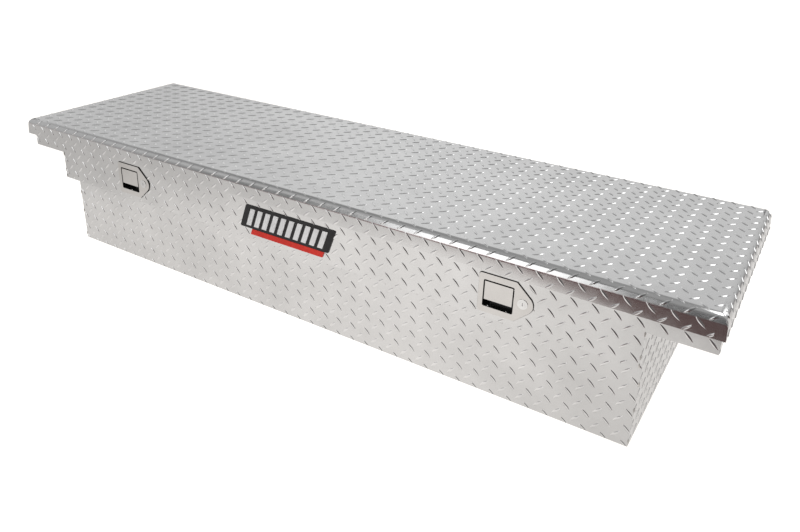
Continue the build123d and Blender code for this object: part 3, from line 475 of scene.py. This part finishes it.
def end_fields(side):
    """Bars on a tub end, above and below the ledge notch, and on the wing tip."""
    def tub_end(y, z, h):
        return (side * (TUB_HALF + h), y, z)

    def wing_tip(y, z, h):
        return (side * (WING_TIP + h), y, z)

    def notch(y, z):
        cuts = []
        if z < LEDGE_Z and y - BAR_REACH < LOWER_Y:
            cuts.append((-1.0, 0.0, -(LOWER_Y + EDGE_IN)))
        if y < LOWER_Y and z - BAR_REACH < LEDGE_Z:
            cuts.append((0.0, -1.0, -(LEDGE_Z + EDGE_IN)))
        return cuts

    def in_notch(y, z):
        return z < LEDGE_Z - CORNER_SLACK and y < LOWER_Y - CORNER_SLACK

    big = bar_field(END_PHASE, (FRONT_Y + EDGE_IN, BACK_Y - EDGE_IN, EDGE_IN, WING_Z - EDGE_IN),
                    tub_end, notch, in_notch)
    tip = bar_field(TIP_PHASE, (FRONT_Y + EDGE_IN, BACK_Y - EDGE_IN, WING_Z + EDGE_IN, TIP_TOP),
                    wing_tip)
    verts, faces = join_fields([big, tip])
    if side < 0:
        faces = flipped(faces)
    return verts, faces


for name, side in (("left", -1), ("right", 1)):
    piece(f"tread_bars_end_{name}", *end_fields(side), "bars", "tread_plate", "tub")

# ================================================================ lid: rolled skin with its bars
ROLL_R = 0.018
BACK_R = 0.003
BACK_R_LEAST = 0.0004
ROLL_STEPS = 14
LID_COLUMNS = 24
LID_ROWS = 8
LIP_LEAN = math.radians(3.5)      # front and end lips lean in at the top
LID_LIP_IN = BAR_HEIGHT   # skin below the crests of the bars, which reach the CAD's face
ROLL_TAKE = 0.9           # the pattern is this much shorter on the roll and the lips
LID_TOP = lid_hi[2] - LID_LIP_IN
LID_LIP = lid_lo[2]


def skin_profile(inset):
    """Lean, roll centre and lip of the skin at a depth: (radius, centre inset, lip top z)."""
    radius = ROLL_R - inset
    lip_top = lid_hi[2] - ROLL_R + radius * math.sin(LIP_LEAN)
    centre = inset + (lip_top - LID_LIP) * math.tan(LIP_LEAN) + radius * math.cos(LIP_LEAN)
    return radius, centre, lip_top


def roll_rings(inset):
    """Rings up the lip, round the roll and onto the flat: (front and end inset, back inset, z)."""
    rings = [(inset, inset, LID_LIP)]
    radius, centre, lip_top = skin_profile(inset)
    back_radius = max(BACK_R - inset, BACK_R_LEAST)
    top = lid_hi[2] - inset
    for i in range(ROLL_STEPS + 1):
        angle = LIP_LEAN + (math.pi / 2 - LIP_LEAN) * i / ROLL_STEPS
        z = top - radius + radius * math.sin(angle)
        side_in = centre - radius * math.cos(angle)
        rise = z - (top - back_radius)
        back_in = inset
        if rise > 0:
            back_in += back_radius - math.sqrt(max(back_radius ** 2 - rise ** 2, 0.0))
        rings.append((side_in, back_in, z))
    return rings


def ring_points(ring, count_x, count_y):
    """Corner-to-corner points of one rectangular ring, evenly spaced along each side."""
    side_in, back_in, z = ring
    x0, x1 = lid_lo[0] + side_in, lid_hi[0] - side_in
    y0, y1 = lid_lo[1] + side_in, lid_hi[1] - back_in
    points = []
    for i in range(count_x):
        points.append((x0 + (x1 - x0) * i / count_x, y0, z))
    for i in range(count_y):
        points.append((x1, y0 + (y1 - y0) * i / count_y, z))
    for i in range(count_x):
        points.append((x1 - (x1 - x0) * i / count_x, y1, z))
    for i in range(count_y):
        points.append((x0, y1 - (y1 - y0) * i / count_y, z))
    return points


def lid_shell():
    """Outer and inner skin, joined along the lips' lower edges."""
    outer = roll_rings(LID_LIP_IN)
    inner = roll_rings(SHEET)
    verts = []
    for ring in outer + inner:
        verts += ring_points(ring, LID_COLUMNS, LID_ROWS)
    per = 2 * (LID_COLUMNS + LID_ROWS)
    faces = []
    for k in range(len(outer) - 1):
        for i in range(per):
            j = (i + 1) % per
            faces.append((k * per + i, k * per + j, (k + 1) * per + j, (k + 1) * per + i))
    top = (len(outer) - 1) * per
    faces.append(tuple(top + i for i in range(per)))
    base = len(outer) * per
    for k in range(len(inner) - 1):
        for i in range(per):
            j = (i + 1) % per
            faces.append((base + k * per + j, base + k * per + i,
                          base + (k + 1) * per + i, base + (k + 1) * per + j))
    top = base + (len(inner) - 1) * per
    faces.append(tuple(reversed([top + i for i in range(per)])))
    for i in range(per):
        j = (i + 1) % per
        faces.append((j, i, base + i, base + j))
    return verts, faces


lid = piece("lid_skin_look", *lid_shell(), "plate", "tread_plate", "lid", 40.0)
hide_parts("lid_skin")

SKIN_RADIUS, FLAT_INSET, LIP_TOP = skin_profile(LID_LIP_IN)
LIP_RUN = (LIP_TOP - LID_LIP) / math.cos(LIP_LEAN)
FLAT_START = LIP_RUN + SKIN_RADIUS * (math.pi / 2 - LIP_LEAN)    # skin distance where the flat begins


def across_lid(v):
    """Place at a skin distance v in from the lip's lower edge: (inset, z, normal)."""
    if v < LIP_RUN:
        return (LID_LIP_IN + v * math.sin(LIP_LEAN), LID_LIP + v * math.cos(LIP_LEAN),
                (math.cos(LIP_LEAN), math.sin(LIP_LEAN)))
    if v < FLAT_START:
        turn = LIP_LEAN + (v - LIP_RUN) / SKIN_RADIUS
        return (FLAT_INSET - SKIN_RADIUS * math.cos(turn),
                LID_TOP - SKIN_RADIUS + SKIN_RADIUS * math.sin(turn), (math.cos(turn), math.sin(turn)))
    return FLAT_INSET + v - FLAT_START, LID_TOP, (0.0, 1.0)


def skin_distance(flat):
    """Skin distance from the lip's lower edge, for a place this far in from the edge of the flat."""
    return FLAT_START + (flat if flat > 0 else flat * ROLL_TAKE)


def lid_front_place(x, y_flat, h):
    """Bars on the flat, over the front roll and down the front lip; y_flat is the unrolled place."""
    v = skin_distance(y_flat - lid_lo[1] - FLAT_INSET)
    inset, z, (out, up) = across_lid(v)
    return (x, lid_lo[1] + inset - out * h, z + up * h)


def lid_end_place(side):
    def place(x_flat, y, h):
        v = skin_distance(lid_hi[0] - FLAT_INSET - x_flat)
        inset, z, (out, up) = across_lid(v)
        return (side * (lid_hi[0] - inset + out * h), y, z + up * h)
    return place


unrolled_front = lid_lo[1] + FLAT_INSET - (FLAT_START - EDGE_IN) / ROLL_TAKE
unrolled_back = lid_hi[1] - BACK_R
end_flat = lid_hi[0] - FLAT_INSET

main = bar_field(LID_PHASE, (-end_flat, end_flat, unrolled_front, unrolled_back), lid_front_place)
piece("tread_bars_lid", *main, "bars", "tread_plate", "lid")

ends = []
for side in (-1, 1):
    phase_x = LID_PHASE[0] if side > 0 else -LID_PHASE[0]
    v, f = bar_field((phase_x, LID_PHASE[1]),
                     (end_flat, end_flat + (FLAT_START - EDGE_IN) / ROLL_TAKE, lid_lo[1] + FLAT_INSET,
                      unrolled_back),
                     lid_end_place(side))
    if side < 0:
        f = flipped(f)
    ends.append((v, f))
piece("tread_bars_lid_ends", *join_fields(ends), "bars", "tread_plate", "lid")

# ================================================================ weld beads and tacks
BEAD_SIDES = 8
BEAD_TAPER = 0.4          # how late a bead thins towards its ends
BEAD_SWELL = 0.16         # how much its thickness comes and goes


def bead(path, radius, lumps):
    """Lumpy bead along a path of points, drawn to a point at both ends."""
    verts = []
    faces = []
    count = len(path)
    for i, point in enumerate(path):
        ahead_of = Vector(path[min(i + 1, count - 1)]) - Vector(path[max(i - 1, 0)])
        turn = ahead_of.to_track_quat("Z", "Y")
        taper = math.sin(math.pi * (i + 0.5) / count) ** BEAD_TAPER
        swell = radius * taper * (1.0 + BEAD_SWELL * math.sin(lumps * i))
        for k in range(BEAD_SIDES):
            angle = 2.0 * math.pi * k / BEAD_SIDES
            from_middle = Vector((swell * math.cos(angle), swell * math.sin(angle), 0.0))
            verts.append(Vector(point) + turn @ from_middle)
    for i in range(count - 1):
        for k in range(BEAD_SIDES):
            a, b = i * BEAD_SIDES + k, i * BEAD_SIDES + (k + 1) % BEAD_SIDES
            faces.append((a, b, b + BEAD_SIDES, a + BEAD_SIDES))
    faces.append(tuple(reversed(range(BEAD_SIDES))))
    faces.append(tuple((count - 1) * BEAD_SIDES + k for k in range(BEAD_SIDES)))
    return verts, faces


SEAM_R = 0.0013
SEAM_LUMPS = 1.7
TACK_R = 0.0016
TACK_LONG = 0.009
TACK_LUMPS = 2.3
TACK_STEPS = 6
TACK_SUNK = 0.0003        # a tack's middle lies this far inside the tub's end
FRONT_TACKS = (WING_Z - 0.004, LEDGE_Z + 0.022, LEDGE_Z + 0.005)
LOWER_TACKS = (LEDGE_Z - 0.055, LEDGE_Z - 0.110, 0.012)
BACK_TACKS = (WING_Z - 0.004, LEDGE_Z, LEDGE_Z / 2, 0.012)

seams = []
for side in (-1, 1):
    path = [(side * (lid_hi[0] - side_in - SEAM_R / 2), lid_lo[1] + side_in + SEAM_R / 2, z - SEAM_R / 2)
            for side_in, _, z in roll_rings(LID_LIP_IN)[1:]]
    seams.append(bead(path, SEAM_R, SEAM_LUMPS))
piece("lid_corner_seams", *join_fields(seams), "bars", "weld", "lid")

tacks = []
for side in (-1, 1):
    for y, heights in ((FRONT_Y, FRONT_TACKS), (LOWER_Y, LOWER_TACKS), (BACK_Y, BACK_TACKS)):
        for z in heights:
            path = [(side * (TUB_HALF - TACK_SUNK), y, z + TACK_LONG * (i / TACK_STEPS - 0.5))
                    for i in range(TACK_STEPS + 1)]
            tacks.append(bead(path, TACK_R, TACK_LUMPS))
piece("corner_tacks", *join_fields(tacks), "weld", "weld", "tub")

# ================================================================ floor
CAMERA_AT = Vector((0.94504, -1.35411, 0.92565))
CAMERA_RIGHT = Vector((0.839123, 0.543496, 0.022003))
CAMERA_DOWN = Vector((0.229649, -0.317314, -0.920094))
CAMERA_AHEAD = Vector((-0.493086, 0.777125, -0.391079))
SWEEP_START = 0.55        # the pale floor starts this far ahead of the camera's foot
SWEEP_REACH = 9.0
FLOOR_DOWN = 0.0005
FLOOR_ROUGH = 0.6
FLOOR_GLOW = (1.0, 0.965, 0.93, 1.0)
GLOW_X = (-4.0, -1.5, -0.95, -0.3, 0.2, 0.5, 0.7, 0.85, 4.0)
GLOW_LEVEL = (0.84, 0.90, 1.05, 1.18, 1.27, 1.20, 1.04, 0.91, 0.91)
FADE_WAY = (-0.527, -0.850, 0.0)  # the glow fades this way, towards the front left
FADE_PLACE = (-0.5, 0.81, 0.93, 1.1, 2.0)
FADE_LEVEL = (1.0, 1.0, 0.88, 0.76, 0.76)


def floor_material():
    """Pale studio floor with a soft glow of its own, uneven from end to end."""
    mat, nt, shader, coords = start("studio_floor")
    shader.inputs["Roughness"].default_value = FLOOR_ROUGH
    link(nt, ramp(nt, noise(nt, coords, 3.0), ((0.3, (0.25, 0.25, 0.25)), (0.7, (0.27, 0.27, 0.27)))),
         shader.inputs["Base Color"])
    shader.inputs["Emission Color"].default_value = FLOOR_GLOW
    split = node(nt, "ShaderNodeSeparateXYZ")
    link(nt, coords, split.inputs["Vector"])
    across = node(nt, "ShaderNodeVectorMath", operation="DOT_PRODUCT")
    across.inputs[1].default_value = FADE_WAY
    link(nt, coords, across.inputs[0])
    glow = slope(nt, split.outputs["X"], GLOW_X, GLOW_LEVEL)
    fade = slope(nt, across.outputs["Value"], FADE_PLACE, FADE_LEVEL)
    link(nt, maths(nt, "MULTIPLY", glow, fade), shader.inputs["Emission Strength"])
    return mat


heading = Vector((CAMERA_AHEAD.x, CAMERA_AHEAD.y, 0.0)).normalized()
sideways = Vector((heading.y, -heading.x, 0.0))
foot = Vector((CAMERA_AT.x, CAMERA_AT.y, -FLOOR_DOWN))
near = foot + heading * SWEEP_START
far = foot + heading * SWEEP_REACH
corners = (near - sideways * SWEEP_REACH, near + sideways * SWEEP_REACH,
           far + sideways * SWEEP_REACH, far - sideways * SWEEP_REACH)
floor_mesh = bpy.data.meshes.new("floor")
floor_mesh.from_pydata([tuple(c) for c in corners], [], [(0, 1, 2, 3)])
floor = bpy.data.objects.new("floor", floor_mesh)
bpy.context.scene.collection.objects.link(floor)
floor_mesh.materials.append(floor_material())

# ================================================================ studio light, from the world all round
DEG = 180.0 / math.pi
FRONT_ANGLE = (-180, -60, 0, 28, 44, 55, 90, 180)         # from straight ahead of the box, to its left
FRONT_LEVEL = (0.6, 0.25, 0.12, 0.32, 0.38, 0.82, 0.88, 0.8)
BACK_ANGLE = (-180, -90, -50, -20, 0, 22, 35, 50, 80, 180)   # from straight behind the box, to its left
BACK_LEVEL = (0.5, 0.55, 0.65, 1.0, 1.13, 1.33, 1.34, 1.08, 1.0, 0.8)
BACK_RISE = (-90, 0, 11, 30, 40, 90)      # elevations, and how much of the back light is left at each
BACK_SHARE = (0.4, 0.4, 1.0, 1.0, 0.4, 0.4)
SIDE_BLEND = 0.3          # front and back light blend within this much of the box's long axis
CEILING = 0.6
CEILING_LOW = 46.0        # elevations between which the walls turn into the ceiling
CEILING_HIGH = 80.0
WINDOW_LEVEL = 2.6        # bright patch low at the front left
WINDOW_SIDE = (0.21, 0.46, 0.03)
WINDOW_RISE = (-2.0, 52.0, 2.0)
OVERHEAD_LEVEL = 4.0      # bright patch high at the back right
OVERHEAD_SIDE = (-0.60, -0.10, 0.04)
OVERHEAD_RISE = (42.0, 60.0, 4.0)
PATCH_DEPTH = (0.1, 0.2)  # a patch starts between these parts of the way from the side to straight on
EARTH_TOP = 3.0           # elevations between which the light turns to the brown of the ground
EARTH_FULL = -6.0
WHITE = (1.0, 1.0, 1.0)
EARTH = (1.0, 0.62, 0.60)

scene = bpy.context.scene
scene.view_settings.view_transform = "Standard"
world = bpy.data.worlds.new("studio")
scene.world = world
world.use_nodes = True
wt = world.node_tree


def step_up(value, low, high):
    """0 to 1 as the value goes from low to high, with soft ends; low may be the larger one."""
    made = node(wt, "ShaderNodeMapRange", interpolation_type="SMOOTHSTEP")
    made.inputs["From Min"].default_value = low
    made.inputs["From Max"].default_value = high
    link(wt, value, made.inputs["Value"])
    return made.outputs["Result"]


def patch(value, low, high, soft):
    """1 between two values, 0 outside them, with soft edges."""
    rise = step_up(value, low - soft, low + soft)
    fall = step_up(value, high + soft, high - soft)
    return maths(wt, "MULTIPLY", rise, fall)


def blend(factor, a, b):
    made = node(wt, "ShaderNodeMix", data_type="FLOAT")
    for socket, value in (("Factor", factor), ("A", a), ("B", b)):
        if isinstance(value, float):
            made.inputs[socket].default_value = value
        else:
            link(wt, value, made.inputs[socket])
    return made.outputs["Result"]


def bright_patch(side, rise, facing, level):
    """Light from one patch: its span to the left, its span of elevations, and the way it faces."""
    shape = maths(wt, "MULTIPLY", patch(leftward, *side), patch(elevation, *rise))
    return maths(wt, "MULTIPLY", maths(wt, "MULTIPLY", shape, step_up(facing, *PATCH_DEPTH)), level)


split = node(wt, "ShaderNodeSeparateXYZ")
link(wt, node(wt, "ShaderNodeTexCoord").outputs["Generated"], split.inputs["Vector"])
way_x, backward, way_z = split.outputs
elevation = maths(wt, "MULTIPLY", maths(wt, "ARCSINE", way_z), DEG)
leftward = maths(wt, "MULTIPLY", way_x, -1.0)
forward = maths(wt, "MULTIPLY", backward, -1.0)
from_front = maths(wt, "MULTIPLY", maths(wt, "ARCTAN2", leftward, forward), DEG)
from_back = maths(wt, "MULTIPLY", maths(wt, "ARCTAN2", leftward, backward), DEG)

front_light = slope(wt, from_front, FRONT_ANGLE, FRONT_LEVEL)
back_light = slope(wt, from_back, BACK_ANGLE, BACK_LEVEL)
back_light = maths(wt, "MULTIPLY", back_light, slope(wt, elevation, BACK_RISE, BACK_SHARE))
light = blend(step_up(backward, -SIDE_BLEND, SIDE_BLEND), front_light, back_light)
light = blend(step_up(elevation, CEILING_LOW, CEILING_HIGH), light, CEILING)
light = maths(wt, "ADD", light, bright_patch(WINDOW_SIDE, WINDOW_RISE, forward, WINDOW_LEVEL))
light = maths(wt, "ADD", light, bright_patch(OVERHEAD_SIDE, OVERHEAD_RISE, backward, OVERHEAD_LEVEL))

# the bare background is plain white, whatever the light that falls on the box
camera_ray = node(wt, "ShaderNodeLightPath").outputs["Is Camera Ray"]
not_camera = maths(wt, "SUBTRACT", 1.0, camera_ray)
earth = maths(wt, "MULTIPLY", step_up(elevation, EARTH_TOP, EARTH_FULL), not_camera)
background = wt.nodes["Background"]
link(wt, ramp(wt, earth, ((0.0, WHITE), (1.0, EARTH))), background.inputs["Color"])
link(wt, maths(wt, "MAXIMUM", light, camera_ray), background.inputs["Strength"])

# ================================================================ camera
CAMERA_LENS = 33.26
CAMERA_SENSOR = 36.0
CAMERA_SHIFT = (0.02617, -0.07825)

camera_data = bpy.data.cameras.new("camera")
camera_data.sensor_width = CAMERA_SENSOR
camera_data.lens = CAMERA_LENS
camera_data.shift_x, camera_data.shift_y = CAMERA_SHIFT
camera = bpy.data.objects.new("camera", camera_data)
turn = Matrix((CAMERA_RIGHT, -CAMERA_DOWN, -CAMERA_AHEAD)).transposed().to_4x4()
camera.matrix_world = Matrix.Translation(CAMERA_AT) @ turn
scene.collection.objects.link(camera)
bpy.context.scene.camera = camera
